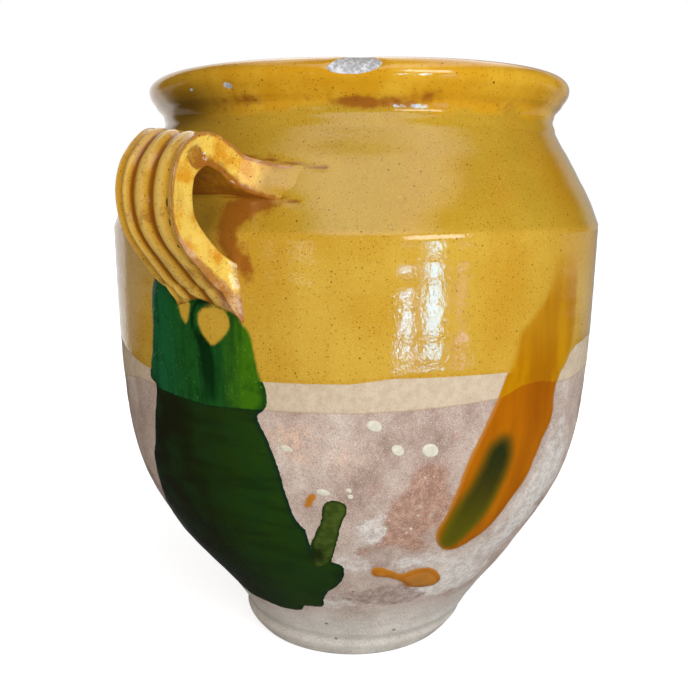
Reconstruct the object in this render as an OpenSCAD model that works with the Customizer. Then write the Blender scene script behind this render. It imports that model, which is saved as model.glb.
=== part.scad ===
// Earthenware confit pot, thrown in one piece, with two ribbed strap handles.
// The axis of the body is Z and the base lies on Z = 0. The handles stand on the X axis.

/* [Body] */
// Height of the pot, from its base to the top of its lip
height = 258.5; // [250:0.5:300]
// Diameter over the shoulder ridge, the widest line of the body
ridge_d = 223; // [212:1:260]
// Height of the shoulder ridge above the base
ridge_z = 195; // [180:1:200]
// Thickness of the thrown wall
wall_t = 8; // [6:0.5:10]
// Thickness of the floor
floor_t = 11; // [8:0.5:15]
// Radius of the round corner between the floor and the inside of the wall
floor_r = 15; // [10:0.5:20]

/* [Foot] */
// Diameter of the foot ring at its fullest
foot_d = 110; // [100:1:124]
// Height of the foot ring, up to the groove above it
foot_h = 9; // [7:0.5:12]
// How far the foot ring draws in from its fullest to the flat base
foot_in = 6.5; // [4:0.5:9]
// Depth of the groove that parts the foot ring from the belly
groove_t = 0.8; // [0.4:0.1:1.5]

/* [Neck and lip] */
// Outer diameter at the narrowest line of the neck
neck_d = 177; // [168:1:184]
// Drop from the top of the lip to the narrowest line of the neck
neck_drop = 18; // [16:0.5:24]
// Outer diameter of the rolled lip
lip_d = 190; // [186:1:200]
// Width of the lip's roll, from its outside to its inside
lip_w = 15.5; // [12:0.5:18]
// Height of the round top of the roll
lip_h = 5.5; // [4:0.5:8]

/* [Handles] */
// How far the middle of the strap stands out beyond the shoulder ridge
reach = 23.6; // [20:0.2:34]
// Height of the strap's crown above the ridge, at the middle of its thickness
crown = 29.5; // [27:0.5:36]
// Height of the middle of the upper root above the ridge
root_up = 20.5; // [17:0.5:24]
// Depth of the middle of the lower root below the ridge
root_down = 19; // [15:0.5:30]
// Width of the strap
strap_w = 28; // [22:0.5:32]
// Width of the strap where its upper end is pressed on to the shoulder
upper_w = 36; // [28:0.5:40]
// Width of the strap where its lower end is pressed on to the belly
lower_w = 31; // [26:0.5:38]
// Thickness of the strap over its ribs
strap_t = 11.2; // [9:0.2:13]
// Height of the ribs that run along the outer face of the strap
rib_h = 1.7; // [0.8:0.1:2.4]
// Radius of the strap's long inner edges
edge_r = 2.5; // [1.5:0.1:3.5]

/* [Hidden] */

ridge_r = ridge_d / 2;
foot_r = foot_d / 2;
neck_r = neck_d / 2;
lip_r = lip_d / 2;
neck_z = height - neck_drop;
roll_z = height - lip_h;
// The wall's slope is taken over this height, so that the inside stays smooth behind the ridge
slope_dz = wall_t;

// Fullness of the belly: share of the height from groove to ridge, share of the radius gained
belly = [[0, 0], [0.1, 0.19], [0.2, 0.435], [0.3, 0.655], [0.4, 0.825], [0.5, 0.918],
         [0.65, 0.972], [0.8, 0.988], [1, 1]];
// Line of the shoulder: share of the drop from neck to ridge, share of the radius gained
shoulder = [[0, 0], [0.12, 0.07], [0.25, 0.215], [0.38, 0.385], [0.52, 0.545], [0.76, 0.805], [1, 1]];

// The ribs are a wave of half turns: three of them end at 270 degrees, and the strap's edge a little before
ribs = 3;
rib_turn = 250;
// Share of the first rise at which a curve sets off
first_slope = 0.6;
// Share of the foot ring's height at which its groove begins
groove_from = 0.75;

steps_rib = 4;      // facets across each rib
steps_foot = 8;
steps_belly = 24;
steps_shoulder = 12;
steps_lip = 8;
steps_roll = 12;
steps_strap = 2;    // rings between two points of the strap's line
steps_root = 5;     // rings over which the lower end turns to lie along the wall

function mix(a, b, t) = a + (b - a) * t;

// A smooth curve y(x) through the points p. Its slope at each point comes from its neighbours,
// and it sets off from the first point a little flatter than it goes on
function rise(p, i) = (p[i + 1][1] - p[i][1]) / (p[i + 1][0] - p[i][0]);
function slope(p, i) =
    i == 0 ? first_slope * rise(p, 0) :
    i == len(p) - 1 ? rise(p, i - 1) :
    (rise(p, i - 1) + rise(p, i)) / 2;
function curve(p, x) =
    let (i = max([for (k = [0 : len(p) - 2]) if (k == 0 || p[k][0] <= x) k]),
         w = p[i + 1][0] - p[i][0],
         t = (x - p[i][0]) / w)
    (2 * t ^ 3 - 3 * t ^ 2 + 1) * p[i][1] + (t ^ 3 - 2 * t ^ 2 + t) * w * slope(p, i)
    + (3 * t ^ 2 - 2 * t ^ 3) * p[i + 1][1] + (t ^ 3 - t ^ 2) * w * slope(p, i + 1);

// Outer radius of the pot at the height z, from the flat base up to where the lip rolls over
function foot_edge(z) = foot_r - foot_in * (1 - z / foot_h) ^ 1.5;
function wall_r(z) =
    z < foot_h ? foot_edge(z) - groove_t * max(0, (z / foot_h - groove_from) / (1 - groove_from)) ^ 2 :
    z < ridge_z ? mix(foot_r - groove_t, ridge_r, curve(belly, (z - foot_h) / (ridge_z - foot_h))) :
    z < neck_z ? mix(neck_r, ridge_r, curve(shoulder, (neck_z - z) / (neck_z - ridge_z))) :
    mix(neck_r, lip_r, (1 - cos(180 * min(1, (z - neck_z) / (roll_z - neck_z)))) / 2);

// Inner radius: the wall keeps its thickness square to its own slope
function wall_slope(z) = (wall_r(z + slope_dz) - wall_r(z - slope_dz)) / (2 * slope_dz);
function inner_r(z) =
    z < neck_z ? wall_r(z) - wall_t * sqrt(1 + wall_slope(z) ^ 2) :
    mix(neck_r - wall_t * sqrt(1 + wall_slope(neck_z) ^ 2), lip_r - lip_w,
        (1 - cos(180 * min(1, (z - neck_z) / (roll_z - neck_z)))) / 2);

function between(a, b, n) = [for (i = [0 : n]) mix(a, b, i / n)];
function outer_side() = concat(
    [for (z = between(0, foot_h, steps_foot)) [wall_r(z), z]],
    [for (z = between(foot_h, ridge_z, steps_belly)) if (z > foot_h) [wall_r(z), z]],
    [for (z = between(ridge_z, neck_z, steps_shoulder)) if (z > ridge_z) [wall_r(z), z]],
    [for (z = between(neck_z, roll_z, steps_lip)) if (z > neck_z) [wall_r(z), z]]);
function roll() =
    [for (a = between(0, 180, steps_roll)) if (a > 0 && a < 180)
        [lip_r - lip_w / 2 * (1 - cos(a)), roll_z + lip_h * sin(a)]];
function inner_side() =
    let (z0 = floor_t + floor_r)
    concat(
        [for (z = between(roll_z, neck_z, steps_lip)) [inner_r(z), z]],
        [for (z = between(neck_z, ridge_z, steps_shoulder)) if (z < neck_z) [inner_r(z), z]],
        [for (z = between(ridge_z, z0, steps_belly)) if (z < ridge_z) [inner_r(z), z]],
        [for (a = between(90, 0, steps_foot)) if (a < 90)
            [inner_r(z0) - floor_r * (1 - sin(a)), z0 - floor_r * cos(a)]]);

module body() {
    rotate([0, 0, 90]) rotate_extrude($fn = 96)
        polygon(concat([[0, 0]], outer_side(), roll(), inner_side(), [[0, floor_t]]));
}

// A point on the wall at the height z, moved out along the wall's own normal
function on_wall(z, out) =
    let (s = wall_slope(z), n = sqrt(1 + s ^ 2))
    [wall_r(z) + out / n, z - out * s / n];

// The line of the strap's middle, from inside the shoulder wall over the crown into the belly wall
function strap_line() = concat(
    [on_wall(ridge_z + root_up, -wall_t / 2), on_wall(ridge_z + root_up, strap_t * 0.4)],
    [for (k = [[-0.04, 0.9], [0.23, 0.99], [0.46, 1], [0.64, 0.95], [0.8, 0.87], [0.93, 0.75], [1, 0.52],
               [0.95, 0.25], [0.82, 0.06]])
        [ridge_r + reach * k[0], ridge_z + crown * k[1]]],
    [for (k = [[0.61, 0.19], [0.35, 0.49], [0.09, 0.78]])
        [ridge_r + reach * k[0], ridge_z - root_down * k[1]]],
    [on_wall(ridge_z - root_down, 0), on_wall(ridge_z - root_down, -wall_t / 2) - [0, wall_t / 2]]);

// Width of the strap at a share of its length: it narrows from the shoulder and spreads at its lower end
function strap_width(k) =
    k < 0.5 ? mix(upper_w, strap_w, sin(180 * k)) :
    k > 0.8 ? mix(lower_w, strap_w, sin(450 * (1 - k))) : strap_w;

// A point on a smooth line through four points, between the two in the middle
function bend(a, b, c, d, t) =
    0.5 * (2 * b + (c - a) * t + (2 * a - 5 * b + 4 * c - d) * t ^ 2 + (3 * b - a - 3 * c + d) * t ^ 3);
function smooth(p, n) =
    let (last = len(p) - 1)
    concat([for (i = [0 : last - 1], j = [0 : n - 1])
        bend(p[max(0, i - 1)], p[i], p[i + 1], p[min(last, i + 2)], j / n)], [p[last]]);

// Outline of the strap across its length: ribs outside, a flat inner face with round edges
function strap_section(w) =
    let (n = ribs * steps_rib, e = min(edge_r, w / 4))
    concat(
        [for (i = [0 : n])
            let (t = 2 * i / n - 1)
            [t * w / 2, strap_t / 2 - rib_h * (1 - abs(cos(rib_turn * t)))]],
        [for (a = between(0, 90, 3)) [w / 2 - e * (1 - cos(a)), -strap_t / 2 + e * (1 - sin(a))]],
        [for (a = between(90, 0, 3)) [-w / 2 + e * (1 - cos(a)), -strap_t / 2 + e * (1 - sin(a))]]);

// Direction across the strap's thickness: square to its line, and at the lower root along the wall
function across(line, i) =
    let (last = len(line) - 1,
         d = line[min(last, i + 1)] - line[max(0, i - 1)],
         square = [-d[1], d[0]] / norm(d),
         out = on_wall(line[last][1], 1) - on_wall(line[last][1], 0),
         a = mix(square, [out[1], -out[0]], max(0, 1 - (last - i) / steps_root)))
    a / (a * square);

module handle() {
    line = smooth(strap_line(), steps_strap);
    last = len(line) - 1;
    rings = [for (i = [0 : last])
        let (a = across(line, i))
        [for (q = strap_section(strap_width(i / last)))
            [line[i][0] + a[0] * q[1], q[0], line[i][1] + a[1] * q[1]]]];
    m = len(rings[0]);
    polyhedron(
        points = [for (ring = rings) for (p = ring) p],
        faces = concat(
            [[for (j = [m - 1 : -1 : 0]) j]],
            [for (i = [0 : last - 1], j = [0 : m - 1])
                for (f = [[i * m + j, i * m + (j + 1) % m, (i + 1) * m + j],
                          [i * m + (j + 1) % m, (i + 1) * m + (j + 1) % m, (i + 1) * m + j]]) f],
            [[for (j = [0 : m - 1]) last * m + j]]),
        convexity = 6);
}

module pot() {
    color("goldenrod") union() {
        body();
        for (side = [0, 180]) rotate([0, 0, side]) handle();
    }
}

pot();
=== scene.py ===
"""Looks of an earthenware confit pot: a jar thrown in red clay, with two ribbed strap handles, yellow lead
glaze over cream slip, runs of green and amber, and a bare foot. Metres, Z up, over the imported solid."""

from math import cos, pi, radians, sin

import bpy
import numpy as np
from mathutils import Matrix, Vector


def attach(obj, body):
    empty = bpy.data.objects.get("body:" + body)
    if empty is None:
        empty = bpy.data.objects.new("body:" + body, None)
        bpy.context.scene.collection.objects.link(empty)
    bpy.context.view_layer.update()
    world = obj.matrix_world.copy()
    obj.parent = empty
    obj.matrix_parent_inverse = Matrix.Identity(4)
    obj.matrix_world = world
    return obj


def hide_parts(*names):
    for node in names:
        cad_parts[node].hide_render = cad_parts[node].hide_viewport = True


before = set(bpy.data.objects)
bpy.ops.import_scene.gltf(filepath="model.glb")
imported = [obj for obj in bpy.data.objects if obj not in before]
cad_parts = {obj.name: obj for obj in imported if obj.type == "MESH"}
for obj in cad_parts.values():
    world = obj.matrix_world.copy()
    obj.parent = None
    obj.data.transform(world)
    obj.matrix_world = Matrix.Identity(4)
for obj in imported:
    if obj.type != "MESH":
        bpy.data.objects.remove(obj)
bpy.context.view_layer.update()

# The body is thrown in one piece from red earthenware clay: foot ring, belly, ridged shoulder, neck and
# rolled lip. The soft clay leaned by half a degree before it was fired, and the lip bent up on two sides.
height = 0.2585
ridge_radius = 0.1115
ridge_height = 0.195
wall = 0.008
floor = 0.011
floor_corner = 0.015
foot_radius = 0.055
foot_height = 0.009
foot_draw_in = 0.0058
groove_depth = 0.0008
neck_radius = 0.0885
neck_height = 0.2405
lip_radius = 0.095
lip_width = 0.0155
lip_round = 0.0055
roll_height = height - lip_round
belly_shares = [(0, 0), (0.1, 0.19), (0.2, 0.435), (0.3, 0.655), (0.4, 0.825), (0.5, 0.918),
                (0.65, 0.972), (0.8, 0.988), (1, 1)]
shoulder_shares = [(0, 0), (0.12, 0.07), (0.25, 0.215), (0.38, 0.385), (0.52, 0.545), (0.76, 0.805), (1, 1)]


def through(points, set_off=0.6):
    """A smooth line through points, as a function. It sets off flatter than its first rise."""
    x, y = np.array(points, float).T
    rise = np.diff(y) / np.diff(x)
    slope = np.concatenate([[set_off * rise[0]], (rise[:-1] + rise[1:]) / 2, [rise[-1]]])

    def at(place):
        i = np.clip(np.searchsorted(x, place, side="right") - 1, 0, len(x) - 2)
        w = x[i + 1] - x[i]
        t = (place - x[i]) / w
        return ((2 * t**3 - 3 * t**2 + 1) * y[i] + (t**3 - 2 * t**2 + t) * w * slope[i]
                + (3 * t**2 - 2 * t**3) * y[i + 1] + (t**3 - t**2) * w * slope[i + 1])

    return at


def between(a, b, t):
    return a + (b - a) * t


def ease(t):
    """0 below 0, 1 above 1, and a smooth step in between."""
    t = np.clip(t, 0, 1)
    return t * t * (3 - 2 * t)


belly_line = through(belly_shares)
shoulder_line = through(shoulder_shares)


def wall_radius(z):
    """Outer radius of the body at a height, up to where the lip rolls over."""
    z = np.asarray(z, float)
    foot_share = np.clip(z / foot_height, 0, 1)
    foot = (foot_radius - foot_draw_in * (1 - foot_share) ** 1.5
            - groove_depth * np.clip(4 * foot_share - 3, 0, 1) ** 2)
    up_belly = np.clip((z - foot_height) / (ridge_height - foot_height), 0, 1)
    belly = between(foot_radius - groove_depth, ridge_radius, belly_line(up_belly))
    down_shoulder = np.clip((neck_height - z) / (neck_height - ridge_height), 0, 1)
    shoulder = between(neck_radius, ridge_radius, shoulder_line(down_shoulder))
    up_lip = np.clip((z - neck_height) / (roll_height - neck_height), 0, 1)
    lip = between(neck_radius, lip_radius, (1 - np.cos(pi * up_lip)) / 2)
    return np.select([z < foot_height, z < ridge_height, z < neck_height], [foot, belly, shoulder], lip)


def wall_slope(z):
    """How fast the radius grows with the height, taken over two wall thicknesses."""
    return (wall_radius(np.asarray(z) + wall) - wall_radius(np.asarray(z) - wall)) / (2 * wall)


def inner_radius(z):
    """Inner radius: the wall keeps its thickness square to its own slope."""
    below = wall_radius(z) - wall * np.sqrt(1 + wall_slope(z) ** 2)
    at_neck = neck_radius - wall * np.sqrt(1 + wall_slope(neck_height) ** 2)
    up_lip = np.clip((z - neck_height) / (roll_height - neck_height), 0, 1)
    above = between(at_neck, lip_radius - lip_width, (1 - np.cos(pi * up_lip)) / 2)
    return np.where(z < neck_height, below, above)


def body_outline():
    """Half of the body's section as (radius, height): up the outside, over the lip and down the inside."""
    def steps(a, b, n):
        return np.linspace(a, b, n, endpoint=False)
    up = np.concatenate([steps(0, foot_height, 10), steps(foot_height, ridge_height, 112),
                         steps(ridge_height, neck_height, 34), steps(neck_height, roll_height, 10)])
    turn = steps(0, pi, 24)
    corner_height = floor + floor_corner
    down = np.concatenate([steps(roll_height, neck_height, 6), steps(neck_height, ridge_height, 10),
                           steps(ridge_height, corner_height, 26)])
    corner = np.linspace(pi / 2, 0, 8)
    corner_radius = float(inner_radius(corner_height))
    return np.concatenate([
        [(0, 0), (0.5 * foot_radius, 0)],
        np.column_stack([wall_radius(up), up]),
        np.column_stack([lip_radius - lip_width / 2 * (1 - np.cos(turn)),
                         roll_height + lip_round * np.sin(turn)]),
        np.column_stack([inner_radius(down), down]),
        np.column_stack([corner_radius - floor_corner * (1 - np.sin(corner)),
                         corner_height - floor_corner * np.cos(corner)]),
        [(0.4 * corner_radius, floor), (0, floor)]])


def arithmetic(operation):
    """A method that adds a Math node to what it is called on."""
    return lambda flow, other: flow.maths(operation, other)


class Flow:
    """A socket of a node tree. Arithmetic on it adds Math nodes, and node() adds a node of any other kind."""

    def __init__(self, tree, socket=None):
        self.tree = tree
        self.socket = socket

    def node(self, kind, settings=None, sockets=None, out=0):
        made = self.tree.nodes.new(kind)
        for name, value in (settings or {}).items():
            if name == "stops":
                while len(made.color_ramp.elements) < len(value):
                    made.color_ramp.elements.new(0.5)
                for element, (place, colour) in zip(made.color_ramp.elements, value):
                    element.position = place
                    element.color = (*colour, 1)
            else:
                setattr(made, name, value)
        for name, value in (sockets or {}).items():
            if isinstance(value, Flow):
                self.tree.links.new(value.socket, made.inputs[name])
            else:
                made.inputs[name].default_value = value
        return Flow(self.tree, made.outputs[out])

    def maths(self, operation, *others):
        return self.node("ShaderNodeMath", {"operation": operation}, dict(enumerate((self, *others))))

    __add__ = __radd__ = arithmetic("ADD")
    __sub__ = arithmetic("SUBTRACT")
    __mul__ = __rmul__ = arithmetic("MULTIPLY")
    __truediv__ = arithmetic("DIVIDE")
    most = arithmetic("MAXIMUM")

    def __rsub__(self, other):
        return self * -1 + other

    def step(self, low, high):
        """0 below low, 1 above high, and a smooth step in between."""
        return self.node("ShaderNodeMapRange", {"interpolation_type": "SMOOTHSTEP"},
                         {"Value": self, "From Min": low, "From Max": high})

    def part(self, axis):
        """One number of a vector."""
        return self.node("ShaderNodeSeparateXYZ", {}, {0: self}, axis)


def grown(name, start, tree, **inputs):
    """The plain mesh object that a tree of Geometry Nodes makes of the mesh it starts from."""
    piece = bpy.data.objects.new(name, start)
    bpy.context.scene.collection.objects.link(piece)
    modifier = piece.modifiers.new(name, "NODES")
    modifier.node_group = tree
    for socket in tree.interface.items_tree:
        if socket.in_out == "INPUT" and socket.name in inputs:
            modifier[socket.identifier] = inputs[socket.name]
    result = bpy.data.meshes.new_from_object(piece.evaluated_get(bpy.context.evaluated_depsgraph_get()))
    piece.modifiers.clear()
    piece.data = result
    result.name = name
    return piece


def new_tree(name, inputs):
    """A tree of Geometry Nodes with named inputs, its first socket, and its group input's sockets by name."""
    tree = bpy.data.node_groups.new(name, "GeometryNodeTree")
    for label, kind in inputs:
        tree.interface.new_socket(label, in_out="INPUT", socket_type=kind)
    tree.interface.new_socket("Geometry", in_out="OUTPUT", socket_type="NodeSocketGeometry")
    entry = tree.nodes.new("NodeGroupInput")
    return tree, Flow(tree), {label: Flow(tree, entry.outputs[label]) for label, _ in inputs}


def end_tree(tree, geometry, finish):
    """The tree's last nodes: its instances become real, and they get their finish."""
    geometry = geometry.node("GeometryNodeRealizeInstances", {}, {"Geometry": geometry})
    geometry = geometry.node("GeometryNodeSetMaterial", {}, {"Geometry": geometry, "Material": finish})
    tree.links.new(geometry.socket, tree.nodes.new("NodeGroupOutput").inputs[0])


# The outline goes round on the wheel, and the potter's fingers leave low rings in the wall.
turned, at, given = new_tree("turned_wall", [
    ("Outline", "NodeSocketGeometry"), ("Steps round", "NodeSocketInt"), ("Ring height", "NodeSocketFloat"),
    ("Ring spacing", "NodeSocketFloat"), ("Seed", "NodeSocketFloat"), ("Finish", "NodeSocketMaterial")])
row_count = at.node("GeometryNodeAttributeDomainSize", {"component": "MESH"}, {"Geometry": given["Outline"]})
sheet = at.node("GeometryNodeMeshGrid", {}, {
    "Size X": 1, "Size Y": 1, "Vertices X": given["Steps round"] + 1, "Vertices Y": row_count})
spot = at.node("GeometryNodeInputPosition")
turn = (spot.part("X") + 0.5) * (2 * pi)
row = ((spot.part("Y") + 0.5) * (row_count - 1)).maths("ROUND")
section = at.node("GeometryNodeSampleIndex", {"data_type": "FLOAT_VECTOR"}, {
    "Geometry": given["Outline"], 1: spot, "Index": row})
radius = section.part("X")
up = section.part("Z")
hand = at.node("ShaderNodeTexNoise", {"noise_dimensions": "4D"}, {
    "Vector": at.node("ShaderNodeCombineXYZ", {}, {"X": radius * turn.maths("COSINE"),
                                                   "Y": radius * turn.maths("SINE"), "Z": up * 4}),
    "W": given["Seed"], "Scale": 14, "Detail": 1})
ring = (up / given["Ring spacing"] * (2 * pi) + turn + hand * 9).maths("SINE") * given["Ring height"]
ring = ring * hand.step(0.35, 0.65) * radius.step(0.02, 0.05)
radius = radius + ring
wall_mesh = at.node("GeometryNodeSetPosition", {}, {
    "Geometry": sheet, "Position": at.node("ShaderNodeCombineXYZ", {}, {
        "X": radius * turn.maths("COSINE"), "Y": radius * turn.maths("SINE"), "Z": up})})
wall_mesh = at.node("GeometryNodeMergeByDistance", {}, {"Geometry": wall_mesh, "Distance": 1e-6})
wall_mesh = at.node("GeometryNodeSetShadeSmooth", {}, {"Geometry": wall_mesh})
end_tree(turned, wall_mesh, given["Finish"])

outline_points = body_outline()
outline = bpy.data.meshes.new("body_outline")
outline.from_pydata([(r, 0, z) for r, z in outline_points],
                    [(i, i + 1) for i in range(len(outline_points) - 1)], [])
glaze = bpy.data.materials.new("glazed_clay")
body = grown("pot_body", outline, turned, **{
    "Steps round": 400, "Ring height": 0.00007, "Ring spacing": 0.0085, "Seed": 3.0, "Finish": glaze})


def points_of(mesh):
    flat = np.zeros(len(mesh.vertices) * 3)
    mesh.vertices.foreach_get("co", flat)
    return flat.reshape(-1, 3)


def normals_of(mesh):
    flat = np.zeros(len(mesh.vertices) * 3, np.float32)
    mesh.vertex_normals.foreach_get("vector", flat)
    return flat.reshape(-1, 3).astype(float)


def set_points(mesh, points):
    mesh.vertices.foreach_set("co", points.astype(np.float32).ravel())
    mesh.update()


# Which way the soft pot leaned, seen from above, by how much, and how its foot and its neck were pushed
lean_way = np.array([0.5, -0.866])
lean = 0.0077
foot_push = 0.0018
neck_push = 0.001
# How far the lip rises per metre from the axis, on that side and on the other. The wall rises with it.
lip_rise = 0.0155
far_lip_rise = 0.65 * lip_rise


def settled(points):
    """Where the points of the true pot lie once the soft clay has leaned and its lip has bent up."""
    side = points[:, :2] @ lean_way
    z = points[:, 2]
    push = lean * z + neck_push * ease((z - 0.212) / 0.032)
    push += foot_push * ease((z - 0.004) / 0.01) * ease((0.06 - z) / 0.025)
    moved = points.copy()
    moved[:, :2] += push[:, None] * lean_way
    moved[:, 2] += np.where(side > 0, lip_rise, -far_lip_rise) * side * ease(z / 0.189)
    return moved


# The glazes were dipped, poured and trailed on by hand. Their edges, runs and stains are drawn on the wall
# by points, in degrees round the pot and millimetres up it, with the handles at 180 and 0 degrees. Each line
# becomes a distance in metres, above zero inside it.
climb_heights = np.linspace(0, height, 600)
climb_steps = np.hypot(np.diff(climb_heights), np.diff(wall_radius(climb_heights)))
climb = np.concatenate([[0], np.cumsum(climb_steps)])


def up_wall(z):
    return np.interp(z, climb_heights, climb)


def rounded(points, n=5, closed=True):
    """A smooth line through the points, with n steps between each two."""
    p = np.array(points, float)
    p = np.vstack([p[-1], p, p[0], p[1]]) if closed else np.vstack([p[0], p, p[-1]])
    t = np.arange(n)[:, None] / n
    line = [0.5 * (2 * b + (c - a) * t + (2 * a - 5 * b + 4 * c - d) * t**2
                   + (3 * b - a - 3 * c + d) * t**3)
            for a, b, c, d in zip(p, p[1:], p[2:], p[3:])]
    return np.vstack(line if closed else line + [p[-1:]])


true_points = points_of(body.data)
wall_normals = normals_of(body.data)
around = np.degrees(np.arctan2(true_points[:, 1], true_points[:, 0])) % 360
from_axis = np.hypot(true_points[:, 0], true_points[:, 1])
above = true_points[:, 2]
outside = from_axis > np.where(above < roll_height, wall_radius(above) - wall / 2,
                               lip_radius - 0.6 * lip_width)
outside &= from_axis > 0.4 * foot_radius
# No distance to a drawn line is kept beyond this
far = 0.02


def line_distance(points, closed=True):
    """Distance from each vertex of the body to a line drawn on its wall, above 0 inside a closed line."""
    drawn = rounded(points, closed=closed)
    a, b = (drawn, np.roll(drawn, -1, axis=0)) if closed else (drawn[:-1], drawn[1:])
    result = np.full(len(above), -far)
    middle = drawn[:, 0].mean()
    turned_by = (around - middle + 180) % 360 - 180
    reach = np.ptp(drawn[:, 0]) / 2 + 14
    low, high = drawn[:, 1].min() / 1000 - far, drawn[:, 1].max() / 1000 + far
    near = np.flatnonzero(outside & (np.abs(turned_by) < reach) & (above > low) & (above < high))
    scale = radians(1) * from_axis[near][:, None]
    ax = (a[None, :, 0] - middle - turned_by[near, None]) * scale
    bx = (b[None, :, 0] - middle - turned_by[near, None]) * scale
    ay = up_wall(a[None, :, 1] / 1000) - up_wall(above[near])[:, None]
    by = up_wall(b[None, :, 1] / 1000) - up_wall(above[near])[:, None]
    dx, dy = bx - ax, by - ay
    t = np.clip(-(ax * dx + ay * dy) / np.maximum(dx * dx + dy * dy, 1e-12), 0, 1)
    distance = np.hypot(ax + t * dx, ay + t * dy).min(axis=1)
    if closed:
        crossing = ((ay > 0) != (by > 0)) & (ax - ay * dx / np.where(dy == 0, 1e-12, dy) > 0)
        distance *= np.where(crossing.sum(axis=1) % 2 == 1, 1, -1)
    else:
        distance = -distance
    result[near] = np.clip(distance, -far, far)
    return result


def patches(spots):
    """Soft patches, each (degrees round, millimetres up, its width, its height, its strength)."""
    total = np.zeros(len(above))
    for turn_at, up_at, wide, high, strength in spots:
        dx = ((around - turn_at + 180) % 360 - 180) * radians(1) * from_axis * 1000 / wide
        dy = (above * 1000 - up_at) / high
        total += strength * np.exp(-dx * dx - dy * dy)
    return total * outside


def edge_above(points):
    """Height above a line that goes all the way round the wall, through (degrees, millimetres)."""
    p = np.array(points, float)
    turns = np.concatenate([p[:, 0] - 360, p[:, 0], p[:, 0] + 360])
    heights = np.tile(p[:, 1], 3)
    fine = np.linspace(-30, 390, 2000)
    soft = np.interp(fine, turns, heights)
    soft = np.convolve(np.pad(soft, 6, mode="edge"), np.ones(13) / 13, mode="valid")
    return up_wall(above) - up_wall(np.interp(around, fine, soft) / 1000)


def keep(mesh, name, values):
    """Stores a number at each vertex, for the finish to read."""
    mesh.attributes.new(name, "FLOAT", "POINT").data.foreach_set("value", np.asarray(values, np.float32))


# The copper green run, poured over the front handle's lower end, and the stripe that a finger drew in it
green_run = [(165, 177), (163.7, 169), (163.4, 157), (162.5, 146.5), (161.2, 137), (163.3, 133), (161.5, 121),
             (159.8, 109), (157.3, 101), (156.4, 94), (154.1, 83), (150.8, 74.5), (147.5, 62), (147, 50),
             (150, 38), (154.5, 29.5), (159, 26.6), (168.9, 27), (179.4, 26.7), (185.9, 27.9), (188.5, 29),
             (190.2, 32.5), (197.4, 33.9), (198.9, 39.5), (201.3, 45.7), (203.9, 48.9), (206.8, 54.6),
             (207.5, 61.2), (206.5, 64.2), (203.6, 66), (200.2, 68), (199.9, 73.2), (199.5, 77.4),
             (199.2, 82.3), (198.1, 84.6), (196.9, 89.1), (196.4, 93.5), (195.6, 99.1), (194.9, 106.1),
             (194, 112.2),
             (192.7, 119.1), (191.6, 123.7), (190.6, 128.2), (192.3, 131.6), (192.9, 135.5), (192.5, 140),
             (191.6, 144.8), (190.8, 151.1), (190.2, 157.7), (189.2, 161.5), (188.2, 163.2), (187.4, 166.5),
             (186.2, 168.5), (181, 171), (175, 173), (169, 179)]
finger_stripe = [(200.3, 72), (200.3, 76), (202.9, 87.6), (203.3, 93.6), (204.5, 96.3), (206.6, 96.4),
                 (208.2, 94.7), (208.4, 91.2), (207.4, 87), (205.9, 75.5), (204.1, 65.8), (200, 62)]
yellow_window = [(181.5, 168), (183.6, 167.5), (184.9, 164.8), (185, 161.4), (183.6, 158), (181.4, 154.6),
                 (179.6, 157.4), (178.4, 160.4), (178, 163.4), (179, 166.9)]
yellow_tongue = [(172.8, 170), (175.5, 169), (175.3, 165), (174.6, 161.6), (173.7, 164)]
green_run_behind = [(347, 177), (346, 166), (346.5, 150), (345, 138), (346.5, 120), (349, 104), (352, 90),
                    (357, 80), (2, 78), (5, 84), (6, 96), (9, 88), (13, 92), (14, 104), (13, 122), (15, 136),
                    (14, 150), (12, 163), (10, 176), (3, 182), (353, 182)]
green = np.maximum(line_distance(green_run), line_distance(finger_stripe))
green = np.minimum(green, -line_distance(yellow_window))
green = np.minimum(green, -line_distance(yellow_tongue))
green = np.maximum(green, line_distance([(t + 360 if t < 180 else t, z) for t, z in green_run_behind]))
stripe = line_distance(finger_stripe)

# The amber run at the front, with the green-black core that the copper left in it, and one behind
amber_run = [(251.2, 171), (245.6, 161), (243.8, 157.9), (242.7, 149.6), (241.2, 141.8), (239.8, 135),
             (237.1, 124.2), (235.5, 117.7), (233.6, 110.1), (231.9, 98.6), (230.4, 87.8), (228.9, 79.5),
             (229.9, 73.4), (232.6, 68.6), (235.8, 67.3), (239.7, 69.6), (244.1, 75), (246.4, 81.6),
             (248.2, 87.5), (251.5, 95.7), (253.1, 104), (255.1, 112.4), (257.5, 119.2), (257.3, 127.7),
             (257.8, 134.3), (259.5, 138.8), (261.9, 143.5), (264.1, 150), (264.4, 167.4), (263.2, 181.9),
             (259, 189.5), (254, 186)]
amber_core = [(230.8, 74.2), (231, 82.8), (232.6, 91.3), (234.8, 98.7), (236.6, 106.3), (237.8, 112.6),
              (239.3, 115.9), (241.6, 117.7), (243.7, 115.3), (244.5, 109.2), (244.1, 102.9), (242.9, 95.3),
              (241.4, 87.2), (239.5, 80.7), (237.3, 75.5), (235.2, 71), (232.8, 70.2)]
amber_drops = [(214.4, 60.4), (215.6, 62.8), (217.7, 61.9), (220.3, 59.6), (222.8, 57.1), (225.1, 58.5),
               (228.1, 59.5), (231.3, 58.3), (234.7, 53.7), (236.4, 48.4), (234.4, 45.8), (229.8, 46.3),
               (225.5, 48.4), (223, 52.5), (220.3, 55), (217.7, 56.2), (215.4, 57.1)]
amber_star = [(199.7, 100.2), (200.3, 98.5), (201.5, 99.1), (202.3, 98.3), (201.6, 96), (200.5, 92.8),
              (199.5, 93.5), (200, 96.3)]
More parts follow.
